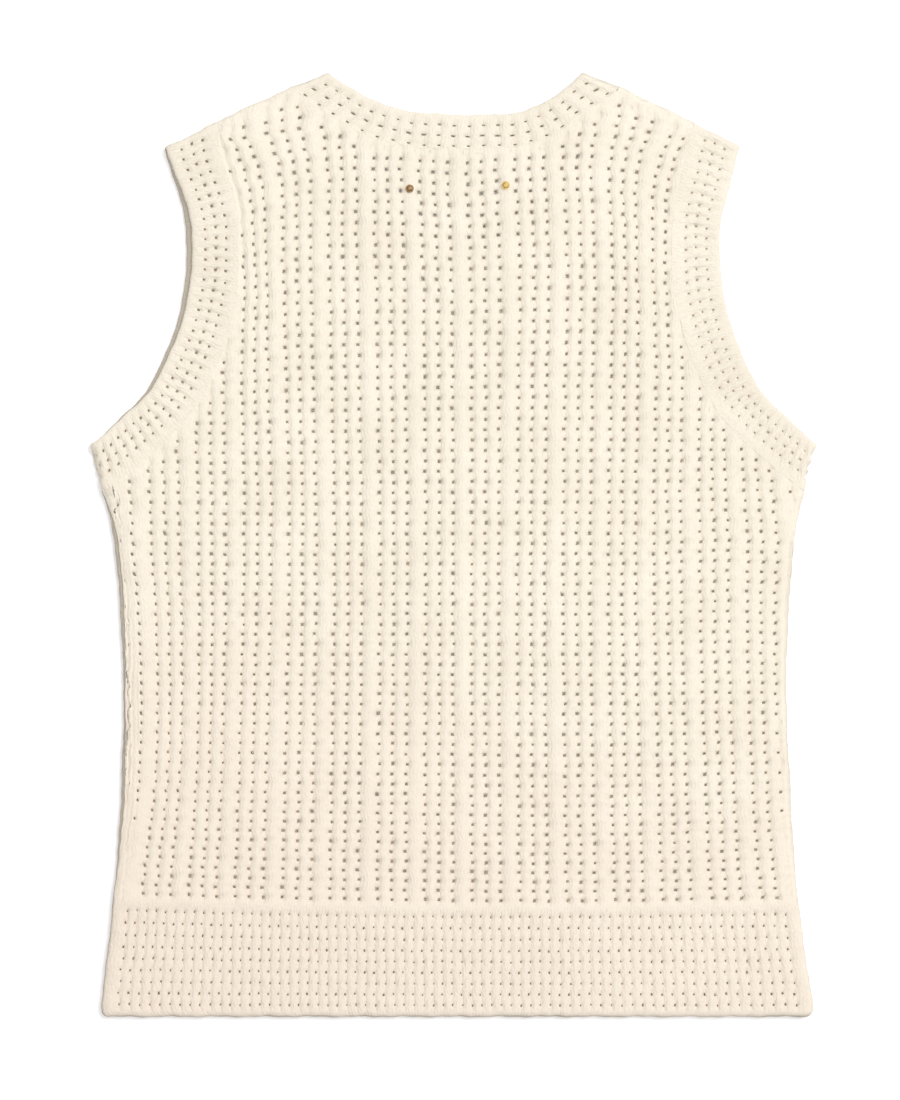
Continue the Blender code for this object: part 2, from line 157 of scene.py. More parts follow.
LEFT_GROUP = (
    # height, how far toward the middle the outer group on the left lies
    (0.08, 0.0015), (0.103, 0.0031), (0.146, 0.0055), (0.195, 0.0049), (0.244, 0.0025), (0.294, -0.0018),
    (0.343, -0.0043), (0.392, -0.0035), (0.44, 0.0),
)
RIGHT_GROUP = (
    # height, how far from the middle the outer group on the right lies
    (0.08, 0.003), (0.103, 0.0012), (0.195, 0.0), (0.244, 0.0009), (0.294, 0.0037), (0.343, 0.0),
)
PULLS = (
    # out, height, half width, half length, sideways, lengthways
    (-0.105, 0.4, 0.12, 0.16, 0.0, -0.0018),
    (-0.15, 0.41, 0.045, 0.08, 0.0, -0.0016),
    (0.06, 0.125, 0.15, 0.07, 0.0, -0.0018),
    (0.16, 0.27, 0.05, 0.14, 0.0, 0.002),
    (0.095, 0.54, 0.05, 0.05, 0.0, 0.0014),
    (-0.14, 0.462, 0.03, 0.065, 0.0032, 0.0),
    (0.132, 0.462, 0.035, 0.065, -0.0026, 0.0),
    (0.06, 0.47, 0.06, 0.1, 0.002, 0.0),
    (-0.09, 0.52, 0.07, 0.05, 0.0024, 0.0),
)
OUTER_SQUEEZE = (
    # height, how much narrower the sixth group lies than the middle ones
    (0.25, 0.0), (0.37, 0.035),
)
MIDDLE_RIB = (
    # height, how far right of the centre line the middle rib lies
    (0.07, 0.0037), (0.25, 0.0046), (0.4, 0.0056), (0.44, 0.0056), (0.484, 0.0042), (0.52, 0.0024),
)
ROW_LIFT = (
    # height, how far the rows rise between the middle and the shoulders
    (0.33, 0.0), (0.4, 0.001), (0.446, 0.0022), (0.486, 0.0035), (0.53, 0.0038),
)
ROW_LIFT_OUT = 0.066
ROW_LIFT_REACH = 0.047
SHOULDER_FAN = 0.007  # how far the outer columns lean out at the shoulder line
SHOULDER_FAN_FROM = 0.5
SHOULDER_FAN_OUT = 0.06

# Eyelets: half sizes of the usual opening, how far alternate rows sway, slant, how far off the ribs begin,
# the share worked nearly shut, the share of the wall left round an eyelet and how much it narrows through it.
Eyelet = namedtuple("Eyelet", "half_width half_height sway slant bank shut wall funnel")
BODY_EYELET = Eyelet(0.00077, 0.00082, 0.00037, 0.25, 0.002, 0.1, 0.6, 0.7)
HEM_EYELET = Eyelet(0.00039, 0.0006, 0.00042, 0.15, 0.0015, 0.4, 0.6, 0.68)
ARM_EYELETS = {
    "left": Eyelet(0.00062, 0.00064, 0.0004, 0.2, 0.0019, 0.2, 0.6, 0.68),
    "right": Eyelet(0.00066, 0.00072, 0.0004, 0.2, 0.0019, 0.2, 0.36, 0.88),
}
NECK_EYELET = Eyelet(0.00094, 0.00045, 0.0003, 0.15, 0.0026, 0.1, 0.6, 0.68)
UNEVEN = 0.32
NEARLY_SHUT = 0.55
ALTERNATE = ((0.92, 1.08), (1.08, 0.96))  # how wide and tall the eyelets are in even and in odd rows
SLACK_AT = (-5.6, 15)  # the group and row at the middle of the slack place low on the left
SLACK_REACH = (2.4, 10)
PINCHED = 0.45  # how far the cloth is pinched together at the middle of the slack place
NARROWEST = 0.95  # how much an eyelet narrows through the wall where the cloth is pinched together
CREASE = 1.6  # how much deeper the line between two eyelets lies there
PAINTED_SHADOW_TO = 0.009  # how far in from a free edge painted shadow darkens the inside of the front layer

# Depth of the knit under its rib tops: at a row of eyelets, and on the line between two rows.
RELIEF = {
    "rib": (0.0001, 0.0),
    "left_bank": (0.00014, 0.00004),
    "left": (0.001, 0.0004),
    "middle": (0.0012, 0.00056),
    "right": (0.00105, 0.00052),
    "right_bank": (0.00014, 0.00008),
}
INSIDE_RELIEF = 0.6  # the same on the cloth's other face, as a share of this
RIM_ANGLES = {
    "under": {"left": 210, "middle": 270, "right": 330},
    "over": {"left": 150, "middle": 90, "right": 30},
}

# Plain cloth along each edge of a body panel, with no eyelets.
PLAIN_STRIPS = {"hem": 0.001, "side": 0.0046, "arm": 0.0014, "shoulder": 0.0075, "neck": 0.004}
# How the cloth thins at the edges of the body panels, hem halves and rings: the share of the wall left there,
# and how far in it is whole.
THINNING = {
    "hem": (1.0, 0.0015), "side": (0.36, 0.0055), "arm": (0.95, 0.003),
    "shoulder": (0.4, 0.0026), "neck": (0.97, 0.003),
    "hem_edge": (0.4, 0.003), "hem_side": (0.4, 0.0055), "hem_seam": (0.99, 0.0015),
    "ring_edge": (0.4, 0.0028), "ring_seam": (0.95, 0.003),
}
SEWN_RUNS = ("hem", "arm", "neck")
# The back's left edge has gathered into lengthwise ridges.
RIDGE_LINES = (-7.57, -7.285, 8)  # the chart's groups that they lie over, and the lines across them
RIDGE_PITCH = 0.0027
RIDGE_WAVER = ((0.16, 70), (0.1, 190))
RIDGE_DEPTH = 0.0013
RIDGES_TO = 0.012  # distance in from the edge
IN_TROUGH = 0.3  # the share of the knit's own relief that is left in a trough
RIDGES_SHUT_TO = 0.0056  # eyelets nearer the edge than this are pressed shut between the ridges

# The hem band's and the other bands' rows of eyelets, in from the free edge.
HEM_COLUMN = 0.00603
HEM_ROWS_FROM_EDGE = (0.0072, 0.0141, 0.021, 0.0282, 0.0352, 0.0422, 0.0495, 0.0569, 0.0642)
HEM_PLAIN_ROWS = (0.0, 0.001, 0.003, 0.066, 0.0685, HEM_BAND_HEIGHT)
HEM_SIDE_LINES = (0.0, 0.0012, 0.003)
HEM_SIDE_PLAIN = 0.006  # the plain cloth at each side
RING_PLAIN_ROWS = (0.0, 0.0009, 0.0028)
WIDE_PLAIN = 0.004  # plain cloth at a seam that is wider than this has lines at these shares of it
WIDE_PLAIN_ROWS = (0.45, 0.75)
HEM_SHADOW_FADE = 2.5  # how much faster the front hem's painted shadow fades upward than sideways
HEM_SHADOW_SWING = (0.003, 36, 0.4)  # how its depth swings along the hem: how far, how fast, start
# How strongly painted shadow darkens the hem's free edge: (distance right of the middle, share).
HEM_EDGE_SHADOW = (
    (-0.219, 0.55), (-0.16, 0.4), (-0.095, 0.75), (0.02, 0.6), (0.036, 1.1), (0.054, 1.1), (0.075, 0.6),
    (0.15, 0.25), (0.186, 0.45), (0.198, 1.1), (0.219, 1.0),
)
SHADOW_WAVER = ((0.35, 210), (0.25, 640))
EDGE_SHADOW_TO = 0.0012  # distance in from the edge
HEM_FAN = 0.055  # how much closer the hem's columns stand in the middle than at the sides, at the free edge
HEM_FAN_FADE = 0.8  # the share of that fan that has gone at the band's seam
HEM_SPREAD = 0.03  # how much closer they stand on the left than on the right
HEM_OPEN = (0.98, 1.1, 0.85, 1.06, 0.92, 1.08, 0.94, 1.12, 0.86)
ARM_COLUMN = 0.0066
ARM_ROWS_FROM_EDGE = (0.0081, 0.0147, 0.021)
ARM_OPEN = (0.9, 1.04, 0.94)
NECK_COLUMN = 0.0091
NECK_ROWS_FROM_EDGE = (0.0066, 0.0132, 0.0197)
NECK_OPEN = (0.78, 1.25, 0.62)

# Colours, as linear red, green and blue.
COTTON = (0.8, 0.728, 0.612)
COTTON_PALE = (0.835, 0.77, 0.66)
COTTON_LOWER_LEFT = (0.793, 0.692, 0.59)  # pinker and a little darker, toward the hem and the left edge
# painted shade, for the knit's hollows and the low places of its plies
COTTON_SHADE = (0.66, 0.56, 0.43)
# painted shadow, for the front layer's inside near its free edges and for the hem's free edge
COTTON_PAINTED_SHADOW = (0.4, 0.345, 0.275)
BRONZE = (0.23, 0.145, 0.075)
BRASS = (0.52, 0.37, 0.13)

# The view straight down on the vest.
VIEW_CENTRE = Vector((-0.0031, -0.0022))
VIEW_HEIGHT = 0.6765
CAMERA_HEIGHT = 2.2


# ---- Curves, outlines and how the vest lies ----


def between_rows(table, at):
    """The value of a (place, value) table at places, in straight lines between its rows."""
    places, values = zip(*table)
    return np.interp(at, places, values)


def smooth_between(rows, count):
    """`count` points evenly spaced along a smooth curve through the rows."""
    knots = [Vector(row) for row in rows]
    knots = [2 * knots[0] - knots[1], *knots, 2 * knots[-1] - knots[-2]]
    dense = []
    for before, start, end, after in zip(knots, knots[1:], knots[2:], knots[3:]):
        reach = (end - start).length
        leave = (end - before) * reach / ((start - before).length + reach)
        arrive = (after - start) * reach / ((after - end).length + reach)
        for step in range(CURVE_STEPS):
            t = step / CURVE_STEPS
            dense.append(
                start * (2 * t**3 - 3 * t**2 + 1)
                + leave * (t**3 - 2 * t**2 + t)
                + end * (3 * t**2 - 2 * t**3)
                + arrive * (t**3 - t**2)
            )
    dense.append(knots[-2])
    lengths = [0.0]
    for first, second in zip(dense, dense[1:]):
        lengths.append(lengths[-1] + (second - first).length)
    points = []
    at = 0
    for index in range(count):
        wanted = lengths[-1] * index / (count - 1)
        while at < len(dense) - 2 and lengths[at + 1] < wanted:
            at += 1
        share = (wanted - lengths[at]) / (lengths[at + 1] - lengths[at])
        points.append(dense[at].lerp(dense[at + 1], min(share, 1.0)))
    return points


def wander(table, out, height):
    """An uneven shift that waves across and along the vest."""
    turns = [(far, out / across + height / along, start) for far, across, along, start in table]
    return sum(far * np.sin(math.tau * turn + start) for far, turn, start in turns)


def mound(out, height, mid_out, mid_height, half_width, half_length):
    """A soft bump, 1 at its middle and 0 past its half width and half length."""
    near = 1 - ((out - mid_out) / half_width) ** 2 - ((height - mid_height) / half_length) ** 2
    return near.clip(0, 1) ** 2


def soft_step(at, start, end):
    """0 up to the start, 1 from the end, and a soft step between."""
    share = ((at - start) / (end - start)).clip(0, 1)
    return share * share * (3 - 2 * share)


def drawn_in(out, height, lifted):
    """How far in points near the left edge lie: lifted is 1 in the back layer, 0 in the front."""
    drawn = between_rows(LEFT_DRAWN_IN, height) * soft_step(-out, *DRAWN_BETWEEN)
    return drawn + lifted * between_rows(LEFT_TUCK, height) * soft_step(-out, *TUCK_BETWEEN)


def settle(points):
    """Where points of the stacked vest lie on the table: it drifts, sags and wanders, and its back swells."""
    out, height, level = points.T
    lifted = ((level - FRONT_INSIDE) / SEAM_GAP).clip(0, 1)
    droop = between_rows(NECK_DROOP, out) * soft_step(height, *DROOP_BETWEEN)
    sideways = between_rows(DRIFT, height) + drawn_in(out, height, lifted)
    sideways += wander(SIDEWAYS_WANDER, out, height)
    lengthways = wander(LENGTHWAYS_WANDER, out, height) - droop
    slip = (level - FOLD_LEVEL) / BACK_FACE
    below = height / HEM_BAND_HEIGHT
    above = (1 - (height - HEM_BAND_HEIGHT) / SAG_FADE).clip(0, 1) ** 2
    sag = SAG * np.minimum(below, above) * (1 - ((out - SAG_CENTRE) / SAG_HALF_WIDTH) ** 2)
    rise = np.zeros(len(points))
    for *swell, top in SWELLS:
        rise += top * mound(out, height, *swell)
    return np.stack(
        (
            out + slip * SLIP.x + sideways,
            height + slip * SLIP.y - sag - LENGTH / 2 + lengthways,
            level + rise * lifted + wander(HEIGHT_WANDER, out, height) * level / BACK_FACE,
        ),
        axis=1,
    )


def fold_inset(edge, seam, inside):
    """The fold line from `edge` to `seam`, moved in so that the folded cloth ends at those two points."""
    along = (seam - edge).normalized()
    outward = Vector((along.y, -along.x))
    if outward.dot(inside - edge) > 0:
        outward = -outward
    return edge - outward * FOLD_REACH, seam - outward * FOLD_REACH, outward


def band_stations(edge_points, width, start_fold, end_fold):
    """(edge point, step across to the seam) at each station of a band, fanned to the fold at each end."""
    stations = []
    last = len(edge_points) - 1
    for index, point in enumerate(edge_points):
        ahead = edge_points[min(index + 1, last)] - edge_points[max(index - 1, 0)]
        across = Vector((ahead.y, -ahead.x)).normalized() * width
        for (fold_edge, fold_seam), steps in ((start_fold, index), (end_fold, last - index)):
            share = max(0.0, 1 - steps / FAN_STATIONS) ** 1.5
            across = across.lerp(fold_seam - fold_edge, share)
        stations.append((point, across))
    return stations


def mirrored(points):
    return [Vector((-point.x, point.y)) for point in points]


def neck_stations(table):
    """The neck band's stations from the left fold to the right one, and the outward side of each fold."""
    peak = Vector(table[-1])
    edge, seam, outward = fold_inset(peak, Vector(NECK_BAND_AT_SHOULDER), Vector((0, 0)))
    half = smooth_between((*table[:-1], edge), NECK_STATIONS // 2 + 1)
    edge_points = mirrored(half[:0:-1]) + half
    left = tuple(mirrored((edge, seam)))
    stations = band_stations(edge_points, NECK_BAND_WIDTH, left, (edge, seam))
    return stations, Vector((-outward.x, outward.y)), outward


def arm_stations(side):
    """An armhole band's stations from the shoulder to the underarm, for side 1 (right) or -1 (left)."""
    tip = Vector(ARMHOLE_EDGE[0])
    shoulder = fold_inset(tip, Vector(ARM_BAND_AT_SHOULDER), Vector((0, 0)))
    point = Vector(ARMHOLE_EDGE[-1])
    underarm = fold_inset(point, Vector(ARM_BAND_AT_SIDE), Vector((0, point.y)))
    edge_points = smooth_between((shoulder[0], *ARMHOLE_EDGE[1:-1], underarm[0]), ARM_STATIONS)
    stations = band_stations(edge_points, ARM_BAND_WIDTH, shoulder[:2], underarm[:2])
    flip = Vector((side, 1))
    stations = [(edge * flip, across * flip) for edge, across in stations]
    return stations, shoulder[2] * flip, underarm[2] * flip


def past_seam(edge, seam):
    """The outline's point just past a band's seam, where the band's fold runs from edge to seam."""
    edge, seam = Vector(edge), Vector(seam)
    return seam + (seam - edge).normalized() * SEAM_CLEARANCE


def seam_line(stations):
    """Points just past a band's seam."""
    return [edge + across + across.normalized() * SEAM_CLEARANCE for edge, across in stations]


def half_width_at(height):
    """Half the vest's width at a height under the armholes."""
    return np.interp(height, [point.y for point in SIDE_POINTS], [point.x for point in SIDE_POINTS])


SIDE_POINTS = smooth_between(SIDE_EDGE, CURVE_STEPS * len(SIDE_EDGE))


class Outline:
    """A body panel's outline in named runs, which says how far points are from each."""

    def __init__(self, neck):
        underarm = past_seam(ARMHOLE_EDGE[-1], ARM_BAND_AT_SIDE)
        shoulder = past_seam(ARMHOLE_EDGE[0], ARM_BAND_AT_SHOULDER)
        neck_end = past_seam(BACK_NECK_EDGE[-1], NECK_BAND_AT_SHOULDER)
        bottom = HEM_BAND_HEIGHT + SEAM_CLEARANCE
        corner = Vector((half_width_at(bottom), bottom))
        side = [corner] + [point for point in SIDE_POINTS if bottom < point.y < underarm.y] + [underarm]
        arm = [underarm] + seam_line(arm_stations(1)[0])[::-1] + [shoulder]
        neck_run = [neck_end] + seam_line(neck)[::-1] + mirrored([neck_end])
        self.corners = [corner, underarm, shoulder, neck_end]
        self.corners += mirrored(self.corners)
        self.runs = {
            "hem": [mirrored([corner]) + [corner]],
            "side": [side, mirrored(side)],
            "arm": [arm, mirrored(arm)],
            "shoulder": [[shoulder, neck_end], mirrored([shoulder, neck_end])],
            "neck": [neck_run],
        }
        loop = side + arm[1:] + neck_run
        loop += mirrored(arm[::-1]) + mirrored(side[::-1])
        self.loop = np.array([point[:] for point in loop])

    def holds(self, points):
        """For each point, whether it is inside the outline."""
        x, y = points.T
        inside = np.zeros(len(points), bool)
        for (x0, y0), (x1, y1) in zip(self.loop, np.roll(self.loop, -1, axis=0)):
            if y0 != y1:
                crosses = (y0 > y) != (y1 > y)
                inside ^= crosses & (x < x0 + (x1 - x0) * (y - y0) / (y1 - y0))
        return inside

    def nearest(self, points, names):
        """For each point, its distance to the nearest of the named runs, and the place there."""
        best = np.full(len(points), np.inf)
        place = np.zeros((len(points), 2))
        for name in names:
            for run in self.runs[name]:
                for start, end in zip(run, run[1:]):
                    start = np.array(start[:])
                    along = np.array(end[:]) - start
                    share = ((points - start) @ along / max(along @ along, 1e-18)).clip(0, 1)
                    spot = start + share[:, None] * along
                    distance = np.hypot(*(points - spot).T)
                    nearer = distance < best
                    best[nearer] = distance[nearer]
                    place[nearer] = spot[nearer]
        return best, place


# ---- Knitting ----


class Eyelets:
    """The eyelets of one knit: each one's place, size and slant, worked unevenly from a seed."""

    def __init__(self, kind, seed, unit, openness, pinched=lambda column, row: 0.0):
        self.kind = kind
        self.seed = seed
        self.unit = unit
        self.openness = openness
        self.pinched = pinched
        self.made = {}

    def at(self, column, row):
        """(sideways shift, half width, half height, slant, depth) of an eyelet."""
        if (column, row) not in self.made:
            chance = random.Random(self.seed * 7919 + column * 251 + row)
            kind = self.kind
            right = row % 2 == 0
            wider, taller = ALTERNATE[row % 2]
            wide, tall, lean = self.openness(column, row)
            size = 1 + UNEVEN * chance.uniform(-1, 1)
            if chance.random() < kind.shut:
                size *= NEARLY_SHUT
            width = kind.half_width * wide * size * wider
            height = kind.half_height * tall * size * taller
            height *= 1 + UNEVEN * chance.uniform(-1, 1)
            shift = kind.sway * (1 if right else -1) * (1 + chance.uniform(-0.5, 0.5))
            slant = lean + (kind.slant if right else 0.0) + chance.uniform(-0.25, 0.25)
            depth = 1 + chance.uniform(-0.25, 0.2)
            self.made[column, row] = (shift, width, height, slant, depth)
        return self.made[column, row]

    def rim(self, column, row, part, side):
        """Where one of the six points on an eyelet's rim stands, from the eyelet's place in the chart."""
        shift, width, height, slant, _ = self.at(column, row)
        angle = math.radians(RIM_ANGLES[side][part])
        up = height * math.sin(angle)
        out = width * math.cos(angle) + slant * up + shift
        return out / self.unit[0], up / self.unit[1]


def column_lines(centres, half, bank, ribs):
    """Lines of a chart along its columns: (place, part, column), five at each column and the rib lines."""
    lines = [(place, "rib", 0) for place in ribs]
    for column, centre in enumerate(centres):
        steps = {"left_bank": -bank, "left": -half, "middle": 0, "right": half, "right_bank": bank}
        lines += [(centre + step, part, column) for part, step in steps.items()]
    return sorted(lines)


def row_lines(centres, half, plain):
    """Lines of a chart along its rows: (place, part, row), two at each row, one between, and plain ones."""
    lines = [(place, "plain", 0) for place in plain]
    for row, centre in enumerate(centres):
        lines += [(centre - half, "under", row), (centre + half, "over", row)]
    for first, second in zip(centres, centres[1:]):
        lines.append(((first + second) / 2, "between", 0))
    return sorted(lines)


def chart_sheet(columns, rows, eyelets):
    """A flat grid with a vertex at each crossing of the chart's lines, shaped round the eyelets. Its layers
    keep each vertex's lines and how deep it lies, and its UV map is the chart in metres."""
    mesh = bmesh.new()
    bmesh.ops.create_grid(mesh, x_segments=len(columns) - 1, y_segments=len(rows) - 1, size=1)
    across = mesh.verts.layers.int.new("across")
    along = mesh.verts.layers.int.new("along")
    depth = mesh.verts.layers.float.new("depth")
    chart = mesh.loops.layers.uv.new("Stitches")
    for vert in mesh.verts:
        vert[across] = round((vert.co.x + 1) / 2 * (len(columns) - 1))
        vert[along] = round((vert.co.y + 1) / 2 * (len(rows) - 1))
        out, part, column = columns[vert[across]]
        up, side, row = rows[vert[along]]
        at_eyelet = side in ("under", "over")
        vert[depth] = 0.0 if side == "plain" else RELIEF[part][0 if at_eyelet else 1]
        if side == "between" and part == "middle":
            vert[depth] *= 1 + CREASE * eyelets.pinched(column, up)
        if at_eyelet and part in ("left", "middle", "right"):
            step = eyelets.rim(column, row, part, side)
            vert.co = (out + step[0], up + step[1], 0)
            vert[depth] *= eyelets.at(column, row)[4]
        else:
            vert.co = (out, up, 0)
    for face in mesh.faces:
        for corner in face.loops:
            corner[chart].uv = (corner.vert.co.x * eyelets.unit[0], corner.vert.co.y * eyelets.unit[1])
    return mesh


def places_of(mesh):
    return np.array([vert.co[:] for vert in mesh.verts])


def thinned(edge, distance):
    """The share of the cloth's wall at distances in from an edge."""
    left, reach = THINNING[edge]
    return left + (1 - left) * np.sqrt((distance / reach).clip(0, 1))


def waver(table, at):
    """An uneven swing along a line, from (how far, how fast) rows."""
    return sum(far * np.sin(fast * at) for far, fast in table)


def set_clear(mesh, shares):
    """Keeps how far each vertex stands from the plain strips, where 1 is just clear of them."""
    clear = mesh.verts.layers.float.new("clear")
    for vert, share in zip(mesh.verts, shares):
        vert[clear] = share


def face_cloth(mesh, inner, outward, wall, fade):
    """Moves the sheet to the cloth's outer face, a wall from its inner one less each vertex's depth, and
    keeps each vertex's step back through the wall. Depths are first scaled by the fade."""
    depth = mesh.verts.layers.float["depth"]
    through = mesh.verts.layers.float_vector.new("through")
    for vert, start, normal, thickness, share in zip(mesh.verts, inner, outward, wall, fade):
        vert[depth] *= share
        normal = Vector(normal)
        vert.co = Vector(start) + normal * (thickness - vert[depth])
        vert[through] = -normal * (thickness - (1 + INSIDE_RELIEF) * vert[depth])


def face_flat(mesh, points, inside, face, shares, fade):
    """Faces a flat layer from its inside level to its face level, a share of that wall at each point."""
    inner = np.column_stack((points, np.full(len(points), inside)))
    outward = np.tile((0, 0, math.copysign(1, face - inside)), (len(points), 1))
    face_cloth(mesh, inner, outward, abs(face - inside) * shares, fade)


def square_seams(mesh, at_seam):
    """Keeps the wall square along a seam, where the next piece carries the cloth on."""
    seamed = {vert for vert, sewn in zip(mesh.verts, at_seam) if sewn}
    for edge in mesh.edges:
        if edge.is_boundary and seamed.issuperset(edge.verts):
            edge.smooth = False


def open_eyelets(mesh, columns, rows, eyelets):
    """Opens each whole eyelet that stands clear of the plain strips, narrower at the cloth's other face."""
    kind = eyelets.kind
    across = mesh.verts.layers.int["across"]
    along = mesh.verts.layers.int["along"]
    clear = mesh.verts.layers.float["clear"]
    through = mesh.verts.layers.float_vector["through"]
    halves = {}
    for face in mesh.faces:
        if len(face.verts) == 4 and min(vert[clear] for vert in face.verts) >= 1:
            _, part, column = columns[min(vert[across] for vert in face.verts)]
            _, side, row = rows[min(vert[along] for vert in face.verts)]
            if part in ("left", "middle") and side == "under":
                halves.setdefault((column, row), []).append(face)
    opened = []
    for place, pair in halves.items():
        if len(pair) == 2:
            opened += pair
            pinched = eyelets.pinched(*place)
            wall = kind.wall + (1 - kind.wall) * pinched
            funnel = kind.funnel + (NARROWEST - kind.funnel) * pinched
            rim = dict.fromkeys(vert for face in pair for vert in face.verts)
            middle = sum((vert.co for vert in rim), Vector()) / len(rim)
            for vert in rim:
                vert[through] = vert[through] * wall + (middle - vert.co) * funnel
    bmesh.ops.delete(mesh, geom=opened, context="FACES_ONLY")


def thicken(mesh, inward):
    """Gives the sheet its wall, from each vertex by its step through the cloth. The inside of the front layer
    gets painted shadow toward its edge, and `inward` is how far each vertex is from that edge."""
    through = mesh.verts.layers.float_vector["through"]
    painted_edge_shadow = mesh.verts.layers.float.new("painted_edge_shadow")
    for vert, distance in zip(mesh.verts, inward):
        vert[painted_edge_shadow] = max(0.0, 1 - distance / PAINTED_SHADOW_TO)
    grown = bmesh.ops.extrude_face_region(mesh, geom=mesh.faces[:])["geom"]
    for part in grown:
        if isinstance(part, bmesh.types.BMVert):
            part.co += part[through]
    for vert in mesh.verts:
        if not WALL / 2 < vert.co.z < BACK_INSIDE:
            vert[painted_edge_shadow] = 0.0


def add_object(name, data):
    made = bpy.data.objects.new(name, data)
    bpy.context.scene.collection.objects.link(made)
    return made


def cloth_piece(name, mesh, material, node):
    """Lays the stacked mesh on the table and makes it the piece that stands for a CAD node."""
    bmesh.ops.recalc_face_normals(mesh, faces=mesh.faces)
    data = bpy.data.meshes.new(name)
    mesh.to_mesh(data)
    data.vertices.foreach_set("co", settle(places_of(mesh)).ravel())
    mesh.free()
    data.update()
    data.materials.append(material)
    data.shade_smooth()
    piece = add_object(name, data)
    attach(piece, "root")
    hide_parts(node)
    return piece


# ---- The body panels ----


def body_place(group, row):
    """Where places of the body's chart lie in the stacked vest."""
    height = between_rows(ROW_HEIGHTS, row)
    squeeze = between_rows(OUTER_SQUEEZE, height) * (abs(group).clip(0, 6) / 6) ** 2
    out = group * between_rows(GROUP_WIDTHS, height) * (1 - squeeze)
    past = ((abs(group) - OUTER_GROUPS_FROM) / (OUTER_GROUP - OUTER_GROUPS_FROM)).clip(0, 2) ** 1.2
    beyond = np.where(group < 0, between_rows(LEFT_GROUP, height), between_rows(RIGHT_GROUP, height))
    out = out + past * beyond
    lean = ((height - SHOULDER_FAN_FROM) / (ARMHOLE_EDGE[0][1] - SHOULDER_FAN_FROM)).clip(0, 1.3)
    reach = (abs(out) / SHOULDER_FAN_OUT - 1).clip(0, 1)
    out = out + np.sign(out) * SHOULDER_FAN * lean**2 * reach
    inner = abs(out) < ROW_LIFT_OUT
    beside = 1 - ((abs(out) - ROW_LIFT_OUT) / np.where(inner, ROW_LIFT_OUT, ROW_LIFT_REACH)) ** 2
    place = np.stack((between_rows(MIDDLE_RIB, height) + out, height), axis=1)
    place[:, 1] += between_rows(ROW_LIFT, height) * beside.clip(-1.2, 1)
    for *pull, sideways, lengthways in PULLS:
        place += mound(out, height, *pull)[:, None] * np.array((sideways, lengthways))
    return place


def body_columns(gathered):
    """The body chart's column lines, in groups from the middle rib, with close ones at a gathered edge."""
    centres = []
    ribs = [-GROUPS_EACH_WAY, *range(-RIBS_EACH_WAY, RIBS_EACH_WAY + 1), GROUPS_EACH_WAY]
    for group in range(-GROUPS_EACH_WAY, GROUPS_EACH_WAY):
        middle = group + 0.5
        centres += [middle - IN_GROUP, middle, middle + IN_GROUP]
    if gathered:
        ribs += list(np.linspace(*RIDGE_LINES))
    half, bank = BODY_EYELET.half_width / USUAL_GROUP, BODY_EYELET.bank / USUAL_GROUP
    return column_lines(centres, half, bank, ribs)


def body_slack(group, row):
    """How slack the cloth lies low on the left, where the eyelets have all but closed."""
    away = math.hypot((group - SLACK_AT[0]) / SLACK_REACH[0], (row - SLACK_AT[1]) / SLACK_REACH[1])
    return max(0.0, 1 - away**2)


def body_openness(column, row):
    """How wide and tall the eyelets are at a place of the body, against the usual, and how far they lean."""
    group = (column + 0.5) / 3 - GROUPS_EACH_WAY
    near_hem = max(0.0, 1 - row / 10)
    near_neck = max(0.0, 1 - abs(group) / 4) * max(0.0, (row - 46) / 20)
    slack = body_slack(group, row)
    at_left = min(1.0, max(0.0, (-group - 5.3) / 1.4))
    at_right = min(1.0, max(0.0, (group - 4.6) / 2.0))
    size = 1 + 0.06 * near_hem + 0.15 * near_neck - 0.16 * at_right
    wide = size * (1 - 0.55 * slack) * (1 - 0.3 * at_left)
    tall = size * (1 - 0.1 * slack) * (1 + 0.2 * at_left)
    return wide, tall, 0.045 * group - 0.35 * at_left + 0.25 * at_right


def body_pinch(column, row):
    """How much the cloth is pinched together at a place of the body, where it lies slack."""
    group = (column + 0.5) / 3 - GROUPS_EACH_WAY
    return PINCHED * body_slack(group, row)


def trim(mesh, outline):
    """Cuts the sheet back to the outline and draws its rim onto it."""
    centres = np.array([face.calc_center_median()[:2] for face in mesh.faces])
    outside = [face for face, kept in zip(mesh.faces, outline.holds(centres)) if not kept]
    bmesh.ops.delete(mesh, geom=outside, context="FACES")
    rim = [vert for vert in mesh.verts if vert.is_boundary]
    points = np.array([vert.co[:2] for vert in rim])
    places = outline.nearest(points, outline.runs)[1]
    for vert, place in zip(rim, places):
        vert.co.xy = place
    for corner in outline.corners:
        closest = min(rim, key=lambda vert: (vert.co.xy - corner).length)
        closest.co.xy = corner
    bmesh.ops.remove_doubles(mesh, verts=rim, dist=RIM_APART)


def gather_edge(mesh, points, outline, shares, fade):
    """Sinks the troughs between the ridges along the sheet's left edge, and shuts the eyelets among them."""
    depth = mesh.verts.layers.float["depth"]
    clear = mesh.verts.layers.float["clear"]
    inward = outline.nearest(points, ["side"])[0]
    round_it = inward / RIDGE_PITCH + waver(RIDGE_WAVER, points[:, 1])
    trough = RIDGE_DEPTH * shares * (0.5 - 0.5 * np.cos(math.tau * round_it)) * (1 - inward / RIDGES_TO)
    for vert, out, near, sunk, share in zip(mesh.verts, points[:, 0], inward, trough, fade):
        if out < 0 < sunk:
            vert[depth] = max(sunk / share, vert[depth] * IN_TROUGH)
        if out < 0 and near < RIDGES_SHUT_TO:
            vert[clear] = 0.0


